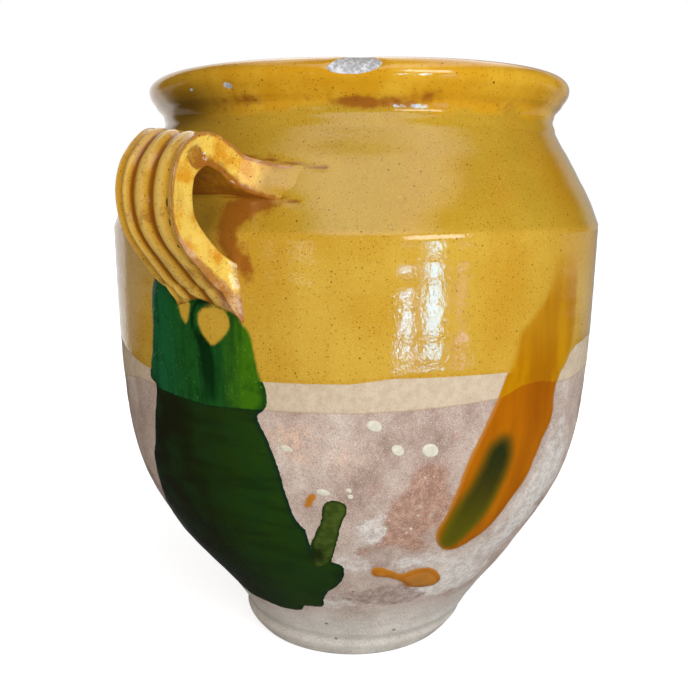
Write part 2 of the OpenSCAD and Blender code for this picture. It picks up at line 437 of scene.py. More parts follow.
amber_run_behind = [(68, 172), (66, 158), (69, 140), (72, 120), (76, 104), (80, 97), (84, 101), (84, 118),
                    (82, 138), (80, 156), (79, 172), (74, 184)]
amber = line_distance(amber_run)
for line in (amber_drops, amber_star, amber_run_behind):
    amber = np.maximum(amber, line_distance(line))
core = line_distance(amber_core)

# The dipped edges: yellow glaze stops above the cream slip, which stops above the bare clay
glaze_edge = [(0, 141), (20, 143), (45, 139), (70, 142), (95, 145), (120, 141), (139, 147), (146, 144.5),
              (152.1, 142.1), (161, 139.8), (176, 140.5), (192.8, 142), (208.9, 142.4), (216.8, 144.2),
              (229.2, 143.6), (241.2, 142.7), (252, 139), (260.5, 138.5), (262.3, 144.6), (266.1, 146.9),
              (275.8, 148), (290, 144), (310, 140), (335, 143)]
slip_edge = [(0, 130), (30, 133), (60, 129), (90, 132), (120, 131), (139, 129.5), (154.3, 134),
             (161.5, 134.1), (163.5, 133.1), (171.5, 131.5), (179.8, 130.2), (192.4, 131.2), (209, 131.4),
             (229.5, 132.4), (240.1, 133), (245, 136.5), (251, 136.8), (257.8, 134.3), (263.8, 133.5),
             (274.6, 134.4), (300, 131), (330, 132)]
in_hollow = ~outside & (above > floor / 2)
over_glaze_edge = np.where(in_hollow, far, edge_above(glaze_edge))
over_slip_edge = np.where(in_hollow, far, edge_above(slip_edge))

# A flake is off the top of the lip, and bare, speckled clay shows there.
lip_flake = [(202.4, 254.3), (204, 256.4), (206, 258), (208.8, 259.2), (212.2, 258.6), (214.6, 256.2),
             (213.7, 253.9), (210.2, 252.2), (206.4, 252), (203.6, 252.8)]
# Two small dents beside the handle take the same light grey: painted highlights
painted_glint_spots = [[(176.3, 249.6), (177.7, 250.8), (179.4, 249.8), (178.4, 248.3)],
                [(164.7, 249.4), (165.6, 250.2), (166.5, 249.5), (165.7, 248.7)]]
flake = line_distance(lip_flake)
for line in painted_glint_spots:
    flake = np.maximum(flake, line_distance(line))

# Iron stains: under the lip, behind the handle and above its upper joint. Creases hold thick brown glaze.
rust = patches([
    (188.4, 205.4, 10, 3, 1.1), (186.2, 200.6, 7, 4.5, 1), (185, 195.5, 3.6, 4, 1),
    (186.2, 190.2, 5, 4.6, 1.2), (188.6, 184.8, 5, 4, 1), (189.6, 179.6, 3, 3.6, 0.7),
    (191.8, 206.6, 7, 1.8, 0.5), (192, 223.5, 9, 2.2, 0.5), (208.6, 243.6, 8, 2.6, 0.75),
    (182, 244.6, 8, 2.4, 0.8), (173, 243, 8, 3, 0.5), (212, 242.6, 9, 2.2, 0.7), (223, 243, 12, 3, 0.7),
    (227, 246, 8, 2, 0.6), (196, 244.6, 12, 2.5, 0.4), (240, 243, 10, 3, 0.3), (250, 243, 12, 3, 0.4),
    (40, 244, 12, 3, 0.6), (75, 244, 9, 3, 0.5), (100, 243, 12, 3, 0.4), (300, 244, 11, 3, 0.6),
    (330, 244, 9, 3, 0.5), (5, 224, 9, 2.2, 0.5)])
crease = line_distance([(183, 223.2), (189.4, 222.2), (195.9, 220.3), (203.8, 219.1)], closed=False)
for line in ([(174, 210), (180, 209.3), (186.4, 208.6), (193.9, 208.4), (199, 206.5)],
             [(176.5, 169.6), (179.5, 171.2), (182, 171), (185.6, 169)]):
    crease = np.maximum(crease, line_distance(line, closed=False))
crease_width = 0.0009
crease = np.exp(-(crease / crease_width) ** 2)

# The bare clay below is mottled: worn mauve patches, peach where it fired hotter, and dull lime on the foot
worn = patches([(221.5, 91, 8, 8, 0.9), (222, 83, 8, 8, 1.3), (226, 105, 7, 6, 1), (230, 88, 5, 7, 0.9),
                (216, 77, 5, 4, 0.8), (225, 97, 13, 12, 0.6), (216, 84, 9, 6, 0.5), (211.4, 71.8, 4, 3, 0.9),
                (226, 73, 9, 4, 0.6), (221, 42.5, 16, 6.5, 1.9), (207, 42, 6, 3, 0.8),
                (205, 110, 14, 8, 0.35), (214, 104, 8, 6, 0.4), (230, 122, 10, 6, 0.3), (60, 70, 30, 22, 0.7),
                (120, 50, 26, 14, 0.7), (300, 80, 28, 16, 0.7), (340, 45, 20, 10, 0.6),
                (20, 100, 24, 14, 0.5), (285, 118, 16, 10, 0.4)])
lime = patches([(213.4, 83, 6, 7, 1), (214.5, 79, 6, 4, 0.6), (231, 86, 5, 8, 0.5), (227, 64.5, 15, 5, 1),
                (209, 64, 9, 6, 0.9), (244.6, 57, 14, 12, 1), (202, 40, 14, 8, 0.9), (257.6, 72, 14, 16, 1),
                (242, 44, 20, 8, 1.2), (262, 95, 18, 20, 1.1), (262, 122, 16, 14, 0.4),
                (150, 110, 12, 24, 0.3), (90, 80, 26, 20, 0.6), (320, 70, 26, 18, 0.6),
                (30, 60, 24, 14, 0.6)])
peach = patches([(197.7, 122, 9, 6, 1.2), (199, 113, 6, 5, 0.6), (208, 114, 7, 5, 0.7), (258, 14, 10, 4, 0.6),
                 (110, 110, 18, 8, 0.7)])
# Where the green lay thickest it went nearly black
pooled = line_distance([(183.8, 167.3), (181.9, 169.3), (179.8, 170.1), (178, 169.9), (176.9, 166.8),
                        (176.4, 162.9), (177.1, 158.4), (178.6, 154.9), (180, 150.5), (180.3, 144)],
                       closed=False)
pooled = 0.9 * np.exp(-(pooled / 0.0012) ** 2) + patches([
    (179.6, 151, 4, 9, 0.8), (180.6, 140, 5, 9, 0.7), (186.4, 165, 2, 4, 0.5), (176, 134, 12, 3, 0.3),
    (201.6, 70, 3, 5, 0.9), (206, 58.5, 5, 5, 0.6), (196, 45, 10, 10, 0.4), (172, 70, 16, 22, 0.4),
    (0, 150, 5, 12, 0.8)])
# Painted shade: on the neck under the lip, left of each handle, and on the wall inside each handle's loop
shade = patches([(164, 244, 20, 9, 1), (150, 240, 20, 12, 0.8), (181, 201, 6, 8, 0.8),
                 (344, 244, 20, 9, 0.8), (1, 201, 6, 8, 0.8)])
# Deeper gold patches on the shoulder, the belly and the neck, right of the front
golden_patches = patches([(262, 216, 16, 17, 1), (258, 186, 10, 14, 0.5), (258, 245, 16, 9, 0.4),
                (230, 216, 6, 20, 0.2)])
# Degrees to the right of the middle of the green run at each handle
across_green = np.where(np.abs(around - 180) < 90, around - 180, (around + 180) % 360 - 180)

body_mesh = body.data
for name, values in (("green_run", green), ("finger_stripe", stripe), ("amber_run", amber),
                     ("amber_core", core), ("over_glaze_edge", over_glaze_edge),
                     ("over_slip_edge", over_slip_edge), ("flake", flake), ("rust", rust), ("thick", crease),
                     ("worn", worn), ("lime", lime), ("peach", peach), ("golden_wash", golden_patches),
                     ("shade", shade), ("pooled", pooled), ("across_green", across_green)):
    keep(body_mesh, name, values)

# How far each coat stands proud of the clay, in metres, over the width of its rounded edge. The finger rings
# on the neck, the chip, the two painted highlights and the creases are in the clay itself.
raised = 0.0004 * ease(green / 0.0022) + 0.0003 * ease(stripe / 0.0015)
raised += 0.0005 * ease(amber / 0.0022) * ease((0.155 - above) / 0.03)
raised += (0.00025 * ease(over_glaze_edge / 0.0012) + 0.00015 * ease(over_slip_edge / 0.001)) * outside
raised += 0.0008 * np.sqrt(ease(line_distance(amber_drops) / 0.0036))
on_neck = ease((above - 0.231) / 0.004) * ease((0.2515 - above) / 0.004) * outside
raised += 0.0002 * np.sin(1330 * above + 0.6) * on_neck
raised -= 0.0006 * ease((flake + 0.0003) / 0.0008) + 0.0004 * crease
set_points(body_mesh, settled(true_points + wall_normals * raised[:, None]))
body.cycles.shadow_terminator_geometry_offset = 0.1
body.cycles.shadow_terminator_offset = 0.15
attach(body, "root")
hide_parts("pot")

# Each handle is a strap pulled from soft clay with three ribs down its outer face. Its upper end is smeared
# on to the shoulder with a thumb, most to one side, and its lower end is pressed on to the belly.
reach = 0.0225
crown = 0.03
root_up = 0.0205
root_down = 0.019
strap_thickness = 0.0117
rib_height = 0.0017
strap_rings = 190


def on_wall(z, out):
    slope = float(wall_slope(z))
    n = (1 + slope**2) ** 0.5
    return float(wall_radius(z)) + out / n, z - out * slope / n


def strap_line():
    """The middle of the strap as (distance from the axis, height), from wall to wall."""
    top, low = ridge_height + root_up, ridge_height - root_down
    arch = [(-0.04, 0.9), (0.23, 0.99), (0.46, 1), (0.64, 0.95), (0.8, 0.87), (0.93, 0.75), (1, 0.52),
            (0.95, 0.25), (0.82, 0.06)]
    fall = [(0.61, 0.19), (0.35, 0.49), (0.09, 0.78)]
    end = on_wall(low, -wall / 2)
    return ([on_wall(top, -wall / 2), on_wall(top, 0.4 * strap_thickness)]
            + [(ridge_radius + reach * a, ridge_height + crown * b) for a, b in arch]
            + [(ridge_radius + reach * a, ridge_height - root_down * b) for a, b in fall]
            + [on_wall(low, 0), (end[0], end[1] - wall / 2)])


def evenly(line, n):
    """The line again, as n points at even distances, and the share of its length at each."""
    along = np.concatenate([[0], np.cumsum(np.linalg.norm(np.diff(line, axis=0), axis=1))])
    share = np.linspace(0, 1, n)
    return np.column_stack([np.interp(share * along[-1], along, line[:, i]) for i in range(2)]), share


# Half widths of the strap on the side that the thumb smeared and on the other, by the share of its length
near_width = through([(0, 0.0135), (0.12, 0.0128), (0.3, 0.0126), (0.85, 0.0126), (1, 0.0148)], 1)
far_width = through([(0, 0.018), (0.12, 0.0145), (0.3, 0.0126), (0.55, 0.0128), (0.85, 0.013),
                     (1, 0.0128)], 1)


def rib_depth(v):
    """How deep the outer face lies at a share of its width: three round ribs and a thin lip each side."""
    grooves = [0.1, 0.4, 0.75, 0.93]
    deep = [0.45, 1, 1, 0.6]
    depth = np.interp(v, [0, grooves[0], grooves[-1], 1], [0, deep[0], deep[-1], 0.3])
    for a, b, from_depth, to_depth in zip(grooves, grooves[1:], deep, deep[1:]):
        in_wave = (v >= a) & (v <= b)
        t = (v[in_wave] - a) / (b - a)
        depth[in_wave] = between(from_depth, to_depth, t) * (0.5 + 0.5 * np.cos(2 * pi * t)) ** 1.3
    return depth


def strap_section():
    """Outline across the strap: share of the width, share of the thickness, and depth of ribs."""
    v = np.concatenate([np.linspace(0, 0.06, 6, endpoint=False), np.linspace(0.06, 0.94, 66, endpoint=False),
                        np.linspace(0.94, 1, 6)])
    outer = np.column_stack([v, np.full(len(v), 0.5), rib_depth(v)])
    down = np.linspace(0, 1, 14)[1:]
    a = ease(down)
    far_side = np.column_stack([1 - 0.02 * np.sin(pi * down) ** 2 - 0.035 * down**4, 0.5 - a,
                                np.zeros(len(down))])
    back = np.linspace(0.965, 0.035, 30)[1:]
    inner = np.column_stack([back, -0.5 - 0.03 * np.sin(pi * back), np.zeros(len(back))])
    rise = np.linspace(0, 1, 14)[1:-1]
    near_side = np.column_stack([0.035 * (1 - rise) ** 4 + 0.014 * np.sin(pi * rise) ** 2, ease(rise) - 0.5,
                                 np.zeros(len(rise))])
    return np.vstack([outer, far_side, inner, near_side])


def strap_mesh(name, way):
    """The strap as a closed tube of rings. way is -1 for the handle on -X and 1 for its twin."""
    line, share = evenly(rounded([(x * 1000, y * 1000) for x, y in strap_line()], 12, closed=False) / 1000,
                         strap_rings)
    step = np.gradient(line, axis=0)
    step /= np.linalg.norm(step, axis=1)[:, None]
    normal = np.column_stack([-step[:, 1], step[:, 0]])
    section = strap_section()
    v, h, depth = (section[:, i][None, :] for i in range(3))
    k = share[:, None]
    near, off = near_width(share)[:, None], far_width(share)[:, None]
    ribs_show = ease((k - 0.03) / 0.1) * ease((0.995 - k) / 0.06)
    swell = 1 + 0.03 * np.sin(9 * k + 1) + 0.02 * np.sin(23 * k)
    thick = strap_thickness * h * swell * np.where(h > 0, 1, 0.98) - rib_height * depth * ribs_show
    t = between(near, -off, v) + 0.0004 * np.sin(17 * k + 3 * v)
    s = line[:, 0:1] + normal[:, 0:1] * thick
    z = line[:, 1:2] + normal[:, 1:2] * thick
    rho = np.hypot(s, t)
    psi = np.arctan2(t, s)
    clear = rho - wall_radius(z)
    upper, lower = ease((0.45 - k) / 0.1), ease((k - 0.6) / 0.1)
    near_side = ease((0.32 - v) / 0.3)
    far_side = ease((v - 0.72) / 0.28)
    touch = np.clip(1 - clear / 0.010, 0, 1)
    close = np.clip(1 - clear / 0.0032, 0, 1.2)
    low_touch = np.clip(1 - clear / 0.006, 0, 1.2)
    # The thumb drags the upper end out along the shoulder, and the lower end spreads where it is pressed on
    thumbed = near_side * (0.023 + 0.006 * np.cos(pi * h)) * touch**2.4
    psi += upper * (thumbed - far_side * 0.009 * touch**2) / rho
    psi += lower * (near_side - far_side) * 0.0026 * np.clip(1 - clear / 0.005, 0, 1.2) ** 2 / rho
    top_face = ease((h - 0.1) / 0.3)
    outer_or_side = ease((h + 0.45) / 0.1)
    z -= upper * near_side * touch**1.5 * (0.0022 + 0.002 * ease((-h - 0.1) / 0.3))
    z += upper * (top_face * 0.0016 - (1 - top_face) * 0.0012) * close**2
    z += 0.0024 * v * ease((k - 0.05) / 0.15) * ease((0.42 - k) / 0.15)
    corner = np.abs(2 * v - 1) ** 2.2 * between(1, 0.25, v)
    z -= lower * top_face * (0.0062 * corner - 0.001) * low_touch**1.3
    z += lower * top_face * 0.0022 * np.exp(-((v - 0.7) / 0.22) ** 2) * np.minimum(low_touch, 1)
    x, y = rho * np.cos(psi), rho * np.sin(psi)
    near_face = ease((0.03 - v) / 0.01) * (np.abs(h) < 0.499)
    dent = ease((1.15 - np.hypot((s - 0.1254) / 0.0046, (z - 0.2226) / 0.0042)) / 0.3) * near_face
    y = y - 0.0012 * dent
    rings, around_it = x.shape
    points = np.column_stack([(way * x).ravel(), (way * y).ravel(), z.ravel()])
    i, j = np.meshgrid(np.arange(rings - 1), np.arange(around_it), indexing="ij")
    first = i * around_it + j
    beside = i * around_it + (j + 1) % around_it
    faces = np.stack([first, beside, beside + around_it, first + around_it], axis=-1).reshape(-1, 4).tolist()
    faces.append(list(range(around_it - 1, -1, -1)))
    faces.append([(rings - 1) * around_it + j for j in range(around_it)])
    mesh = bpy.data.meshes.new(name)
    mesh.from_pydata(points.tolist(), [], faces)
    mesh.validate()
    mesh.polygons.foreach_set("use_smooth", [True] * len(mesh.polygons))
    merging = 1 - upper * near_side * (1 - ease((np.hypot(x, y) - wall_radius(z) - 0.0002) / 0.0022))
    low_end = ease((k - 0.6) / 0.28)
    edge = np.exp(-(v / (0.03 + 0.2 * low_end**2)) ** 2) + 0.5 * np.exp(-((1 - v) / 0.02) ** 2)
    edge = edge * ease((h - 0.25 + 0.4 * low_end) / (0.2 + 0.3 * low_end))
    outer_face = ease((h - 0.4) / 0.1)
    deep = np.clip(depth, 0, 1)
    near_wall = np.exp(-(clear / 0.0012) ** 2) + 0.55 * np.exp(-(clear / 0.004) ** 2)
    under = ease((-h - 0.3) / 0.15) * ease((0.42 - k) / 0.2)
    brown_band = np.exp(-((h + 0.42) / 0.24) ** 2) * near_face
    brown_band = brown_band * ease((k - 0.06) / 0.06) * ease((0.4 - k) / 0.08)
    smear = upper * ease((touch - 0.46) / 0.25) * ease((0.4 - v) / 0.1) * outer_or_side
    pits = 0
    for height_at, tall, share_at in ((0.2072, 2.1, 0.105), (0.2006, 1.5, 0.085), (0.1925, 0.8, 0.11),
                                      (0.1866, 0.9, 0.1)):
        pits = pits + np.exp(-((z - height_at) * 1000 / tall) ** 2 - ((v - share_at) / 0.022) ** 2)
    marks = dict.fromkeys(("green_run", "finger_stripe", "amber_run", "amber_core", "flake"), -far)
    marks.update({
        "over_glaze_edge": far, "over_slip_edge": far, "strap": merging, "smear": smear * merging,
        # Painted light: the near side face gets a lighter yellow, as the side that faces the lamp
        "pale": near_face * (1 - smear), "arris": edge * (1 - upper * (1 - merging) * 0.6),
        "crest": (1 - deep) ** 3 * outer_face, "pits": pits * outer_face * (k > 0.45),
        # Painted bounce light: the underside of the upper arm is made a warmer gold
        "golden_wash": 0.9 * under * merging,
        "rust": np.clip(0.8 * dent + 0.7 * under + 0.85 * brown_band + 0.25 * near_wall * (1 - smear), 0, 1),
        "thick": np.clip(1.1 * deep**2.5 * outer_face + 0.5 * near_wall * (1 - smear), 0, 1)})
    for mark, values in marks.items():
        keep(mesh, mark, (values * np.ones_like(x)).ravel())
    # Only the ends lie in the wall, so the arch between them doesn't lean with it
    free = (ease((k - 0.06) / 0.12) * ease((0.97 - k) / 0.12) * np.ones_like(x)).ravel()[:, None]
    placed = points_of(mesh)
    set_points(mesh, between(settled(placed), placed, free))
    return mesh


for name, way in (("handle_front", -1), ("handle_behind", 1)):
    strap = bpy.data.objects.new(name, strap_mesh(name, way))
    bpy.context.scene.collection.objects.link(strap)
    strap.data.materials.append(glaze)
    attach(strap, "root")
    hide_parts("pot")


# The finish, from the clay out: bare mottled clay, cream slip, yellow lead glaze, and copper green and iron
# amber run over it. Glass lies over the glazes, and the clay and slip are matt.
def paint(*levels):
    """A colour as seen on a screen, 0 to 255, in the renderer's own linear numbers."""
    return tuple(c / 255 / 12.92 if c < 11 else ((c / 255 + 0.055) / 1.055) ** 2.4 for c in levels)


def bare_tree(owner):
    """The first flow of a material's or a world's own tree, emptied."""
    owner.use_nodes = True
    owner.node_tree.nodes.clear()
    return Flow(owner.node_tree)


def put_out(shader, kind="ShaderNodeOutputMaterial"):
    shader.tree.links.new(shader.socket, shader.tree.nodes.new(kind).inputs["Surface"])


clay = bare_tree(glaze)
place = clay.node("ShaderNodeTexCoord", out="Object")


def mark(name):
    return clay.node("ShaderNodeAttribute", {"attribute_name": name}, {}, "Fac")


def cloud(scale, detail=3, stretch=(1, 1, 1), roughness=0.55, shift=0.0):
    """Soft noise round a half, at a scale per metre."""
    moved = clay.node("ShaderNodeMapping", {}, {"Vector": place, "Scale": stretch, "Location": (shift, 0, 0)})
    return clay.node("ShaderNodeTexNoise", {}, {"Vector": moved, "Scale": scale, "Detail": detail,
                                                "Roughness": roughness}, "Fac")


def mix(share, a, b):
    """Colour a, turning into b where share is 1. A colour is a flow, or numbers as seen on a screen."""
    def as_colour(c):
        return c if isinstance(c, Flow) else (*paint(*c), 1)
    return clay.node("ShaderNodeMix", {"data_type": "RGBA"}, {0: share, 6: as_colour(a), 7: as_colour(b)}, 2)


def coats(tone, *layers):
    """A tone under thin coats, each its share and its colour, the lowest first."""
    for share, colour in layers:
        tone = mix(share, tone, colour)
    return tone


def specks(scale, least, most, share):
    """Small dots: a share of the cells of a net, each with its own size, as fractions of a cell."""
    cells = {"Vector": place, "Scale": scale}
    reach_of = clay.node("ShaderNodeTexVoronoi", {}, cells, "Distance")
    own = clay.node("ShaderNodeTexVoronoi", {}, cells, "Color")
    pick = clay.node("ShaderNodeSeparateColor", {}, {0: own}, "Red")
    size = clay.node("ShaderNodeSeparateColor", {}, {0: own}, "Green") * (most - least) + least
    return (1 - (reach_of / size).step(0.6, 1)) * pick.step(1 - share, 1 - share + 0.02)


up_pot = place.part("Z")
fine = cloud(900, 2)
grain = cloud(330, 4)
grainy = grain.step(0.35, 0.65)
broad = cloud(28, 3).step(0.3, 0.7)
slow = cloud(11, 2, shift=3.0)
streaks = cloud(60, 3, (1, 1, 0.22))
streaky = streaks.step(0.35, 0.65)
sand = cloud(1700, 2, shift=1.0)
ragged = (cloud(420, 3, shift=5.0) - 0.5) * 0.0011

# Bare clay: worn and chalky patches, a limy foot with a line of dirt above it, sand and small pits
blotch = cloud(105, 8, roughness=0.75, shift=2.0) - 0.5
mauve = (mark("worn") + blotch * 2.0).step(0.3, 0.9)
mauve_tone = coats(
    mix(grainy, (148, 100, 76), (182, 134, 106)),
    (up_pot.step(0.066, 0.052) * 0.8, mix(grainy, (134, 112, 98), (170, 148, 134))),
    (specks(420, 0.12, 0.34, 0.4) * grain.step(0.4, 0.55) * 0.6, (222, 206, 194)))
chalk = (mark("lime") - blotch * 3.2).step(0.3, 1.1)
foot_wash = (up_pot + (cloud(60, 4, (1, 1, 2.5), shift=7.0) - 0.5) * 0.03).step(0.044, 0.014)
dirt_line = (up_pot - 0.0125 - (slow - 0.5) * 0.004).maths("ABSOLUTE").step(0.0022, 0.0006)
clay_tone = coats(
    clay.node("ShaderNodeValToRGB", {"stops": [
        (0.3, paint(142, 112, 94)), (0.45, paint(178, 150, 132)), (0.56, paint(192, 167, 149)),
        (0.7, paint(218, 199, 181))]}, {"Fac": cloud(48, 8, (1, 1, 0.8), 0.72)}),
    (mauve * 0.9, mauve_tone),
    (chalk * 0.75, mix(grain.step(0.35, 0.6), (196, 184, 170), (228, 218, 206))),
    (mark("peach") * grain.step(0.3, 0.7) * 0.8, (222, 178, 148)),
    (foot_wash * (0.85 - mauve * 0.7 - blotch * 1.2), mix(streaky, (196, 188, 174), (216, 206, 192))),
    (dirt_line * 0.35, (150, 142, 128)),
    (sand.step(0.5, 0.72) * 0.55, (132, 106, 94)),
    (sand.step(0.5, 0.28) * 0.35, (224, 208, 196)),
    (specks(160, 0.06, 0.2, 0.2) * up_pot.step(0.11, 0.09) * 0.75, (104, 92, 76)))

# Cream slip, with a brown line where it thins out on the clay
slip_tone = coats(
    mix(grain.step(0.3, 0.7), (194, 168, 138), (208, 184, 154)),
    (sand.step(0.5, 0.72) * 0.3, (160, 130, 100)),
    (specks(620, 0.1, 0.3, 0.3) * 0.5, (176, 130, 80)))
slip_edge_in = mark("over_slip_edge") + ragged * 0.5
on_slip = slip_edge_in.step(-0.00015, 0.0002)
slip_line = slip_edge_in.maths("ABSOLUTE").step(0.0006, 0.0001)
ground = coats(clay_tone, (on_slip, slip_tone), (slip_line * 0.35, (170, 128, 92)))

# Yellow glaze: duller on the shoulder, richer on the neck and the handles, brown where it lay thick or where
# iron came through, worn off the arrises of the handles, and crackled at their lower ends
shoulder_part = (up_pot + ragged * 2).step(0.1955, 0.1985)
collar = (up_pot + (cloud(24, 4, (1, 1, 1.6), shift=9.0) - 0.5) * 0.022).step(0.2385, 0.2435)
strap_stain = cloud(100, 6, roughness=0.7, shift=13.0).step(0.52, 0.68) * mark("strap")
strap_stain = strap_stain * (1 - mark("pale") * 0.6)
rusty = (mark("rust") + (streaks - 0.5) + (grain - 0.5) * 1.1).step(0.2, 0.95)
worn_by = cloud(55, 4, roughness=0.6, shift=6.0)
bare = (mark("arris") + (worn_by - 0.5) * 1.1 + (grain - 0.5) * 0.6 + (sand - 0.5) * 0.4).step(0.42, 0.9)
crackle = clay.node("ShaderNodeTexVoronoi", {"feature": "DISTANCE_TO_EDGE"}, {
    "Vector": place, "Scale": 330, "Randomness": 1.0}, "Distance").step(0.045, 0.01)
cracked = (grain * 0.5 + worn_by * 0.5 + mark("pale") * 0.06).step(0.5, 0.6)
cracked = cracked * mark("strap") * up_pot.step(0.192, 0.184)
iron = (specks(760, 0.14, 0.32, 0.85) * 0.55).most(specks(330, 0.07, 0.16, 0.6) * 0.9)
iron = iron.most(specks(95, 0.04, 0.08, 0.2))
on_glaze = (mark("over_glaze_edge") + ragged * 0.4).step(-0.00012, 0.00018)
glaze_line = (mark("over_glaze_edge") - 0.0006).maths("ABSOLUTE").step(0.0011, 0.0002)
yellow = coats(
    mix(broad, (196, 147, 40), (206, 162, 58)),
    (shoulder_part, mix(broad, (180, 140, 34), (194, 152, 46))),
    (mark("strap") * 0.6, mix(broad, (196, 128, 18), (212, 150, 34))),
    # Painted light: each handle's near side face a lighter, brighter yellow
    (mark("pale") * 0.85, mix(cloud(110, 6, roughness=0.65, shift=11.0).step(0.34, 0.56),
                              (230, 154, 34), (250, 208, 92))),
    (streaks.step(0.45, 0.75) * 0.3, (190, 126, 20)),
    (sand.step(0.5, 0.75) * 0.25, (232, 190, 100)),
    (sand.step(0.5, 0.25) * 0.25, (170, 108, 14)),
    (mark("crest") * 0.5, (234, 200, 116)),
    (strap_stain * 0.6, (146, 84, 22)),
    (mark("smear") * 0.8, (190, 148, 58)),
    (collar * 0.75, mix(streaky, (212, 146, 14), (230, 174, 46))),
    # Gold patches on the body, and painted bounce light under each handle's upper arm
    (mark("golden_wash") * 0.7, (190, 130, 10)),
    (rusty * 0.85, (146, 76, 22)),
    (mark("thick").step(0.15, 1) * 0.85, (134, 66, 10)),
    (bare * 0.8, mix(worn_by.step(0.5, 0.68), (162, 88, 40), (222, 176, 138))),
    (crackle * cracked * 0.45, (110, 56, 18)),
    (mark("pits").step(0.35, 0.7) * 0.9, (60, 34, 12)),
    # Painted shade, in a dark olive
    (mark("shade") * 0.8, (116, 82, 12)),
    (iron * 0.9, (104, 52, 8)),
    (glaze_line * fine.step(0.4, 0.6) * 0.6, (186, 132, 40)))

# Amber: it fades up into the yellow, darkens over bare clay, and is paler where it is thin
amber_in = mark("amber_run") + ragged * 0.7
on_amber = amber_in.step(-0.0001, 0.0002) * (1 - on_glaze) + amber_in.step(-0.001, 0.0034) * on_glaze
fade_up = up_pot.step(0.193, 0.168) * 0.82 + up_pot.step(0.166, 0.142) * 0.18
core_in = mark("amber_core")
core_share = up_pot.step(0.072, 0.116) * 0.75 + 0.1 + streaks * 0.2
amber_on_clay = mix(streaks.step(0.3, 0.7), (180, 100, 0), (154, 80, 0))
amber_tone = coats(
    mix(amber_in.step(0.0022, 0.0004) * 0.6, amber_on_clay, (192, 128, 52)),
    (on_slip, mix(streaky, (196, 134, 0), (168, 102, 0))),
    (amber_in.step(0.001, 0.003) * up_pot.step(0.066, 0.06) * 0.4, (204, 146, 70)),
    (core_in.step(-0.0034, 0.0018) * 0.85, mix(up_pot.step(0.074, 0.108), (74, 86, 6), (62, 62, 8))),
    (core_in.step(0.0002, 0.0044) * core_share, (22, 38, 12)))
amber_halo = (amber_in.step(-0.0012, 0.0006) - on_amber) * 0.35 * (1 - on_glaze)

# Green: bright over the yellow glaze and the slip, nearly black on bare clay and where it pooled
green_in = mark("green_run") + ragged
on_green = green_in.step(-0.0001, 0.0002) * (1 - on_glaze) + green_in.step(-0.0004, 0.0013) * on_glaze
side = mark("across_green") + (streaks - 0.5) * 7
hair = cloud(150, 4, (1, 1, 0.1), 0.7, shift=8.0)
bright = coats(
    mix(side.step(-16, -5), (22, 92, 50), (26, 82, 26)),
    (side.step(1, 7), (60, 104, 8)),
    (hair.step(0.42, 0.62) * 0.5, (12, 48, 18)),
    (cloud(120, 6, roughness=0.7, shift=12.0).step(0.5, 0.66) * 0.5, (16, 56, 14)),
    (green_in.step(0.0008, -0.0002) * on_glaze * 0.6, (120, 132, 14)),
    (green_in.step(0.0040, 0.0006) * (1 - on_glaze) * 0.75, (6, 44, 14)),
    (specks(560, 0.14, 0.3, 0.7) * 0.25, (110, 160, 80)))
deep = coats(
    mix(side.step(-14, 12), (24, 26, 4), (32, 58, 8)),
    (cloud(90, 5, shift=4.0).step(0.42, 0.64) * 0.6, (26, 54, 16)),
    (cloud(160, 5, (0.25, 0.25, 1.6), shift=2.0).step(0.46, 0.7) * 0.4, (12, 20, 4)))
in_stripe = mark("finger_stripe")
stripe_tone = mix(in_stripe.step(0.0002, 0.0016), (38, 50, 10), mix(grainy, (60, 72, 20), (80, 92, 34)))
thin_edge = green_in.step(0.0026, 0.0003) * (1 - on_slip) * (1 - in_stripe.step(-0.001, 0))
green_tone = coats(
    mix(on_slip, deep, bright),
    (in_stripe.step(-0.0002, 0.0006) * 0.75, stripe_tone),
    (slip_line * 0.6, (6, 34, 14)),
    ((mark("pooled") + (hair - 0.5) * 0.5).step(0.15, 0.9) * 0.85, mix(on_slip, (14, 20, 4), (2, 30, 4))),
    (thin_edge * 0.7, (8, 32, 28)))

# Bare clay where the lip is chipped, and the same light grey as painted highlights on two small dents
chip_and_glint_share = (mark("flake") + ragged * 0.6).step(-0.0001, 0.0002)
surface = coats(
    ground,
    (on_glaze, yellow),
    (on_amber * fade_up, amber_tone),
    (amber_halo, (150, 92, 40)),
    (on_green, green_tone),
    (chip_and_glint_share, mix((grain + fine).step(0.85, 1.2), (168, 162, 160), (220, 216, 216))))

# The glass ripples most near its lower edge, and the bare clay has a grain of its own
glassy = on_glaze.most(on_green).most(on_amber * fade_up) * (1 - chip_and_glint_share)
rough_edge = mark("over_glaze_edge").step(0.014, 0.003)
glass_waves = cloud(95, 2, (1, 1, 0.7)) * 0.3 + fine * 0.22
glass_waves = glass_waves + grain * (0.5 - shoulder_part * 0.3 + rough_edge * 0.5)
ripple = clay.node("ShaderNodeBump", {}, {
    "Strength": 0.35, "Distance": 0.0006,
    "Height": glass_waves * glassy + (grain * 0.9 + fine * 0.5) * (1 - glassy)})
put_out(clay.node("ShaderNodeBsdfPrincipled", {}, {
    "Base Color": surface, "Roughness": 0.86 - glassy * 0.81, "IOR": 1.6, "Normal": ripple}))

# Cream slip that splashed off the pot as it was dipped fell on the bare clay and dried there as small flat
# drops, fired on with the rest
drops_tree, at, given = new_tree("splashed_drops", [
    ("Points", "NodeSocketGeometry"), ("Rings", "NodeSocketInt"), ("Wobble", "NodeSocketFloat"),
    ("Seed", "NodeSocketFloat"), ("Finish", "NodeSocketMaterial")])
bead = at.node("GeometryNodeMeshUVSphere", {}, {"Segments": 20, "Rings": given["Rings"], "Radius": 1.0})


def stored(name, kind):
    return at.node("GeometryNodeInputNamedAttribute", {"data_type": kind}, {"Name": name})


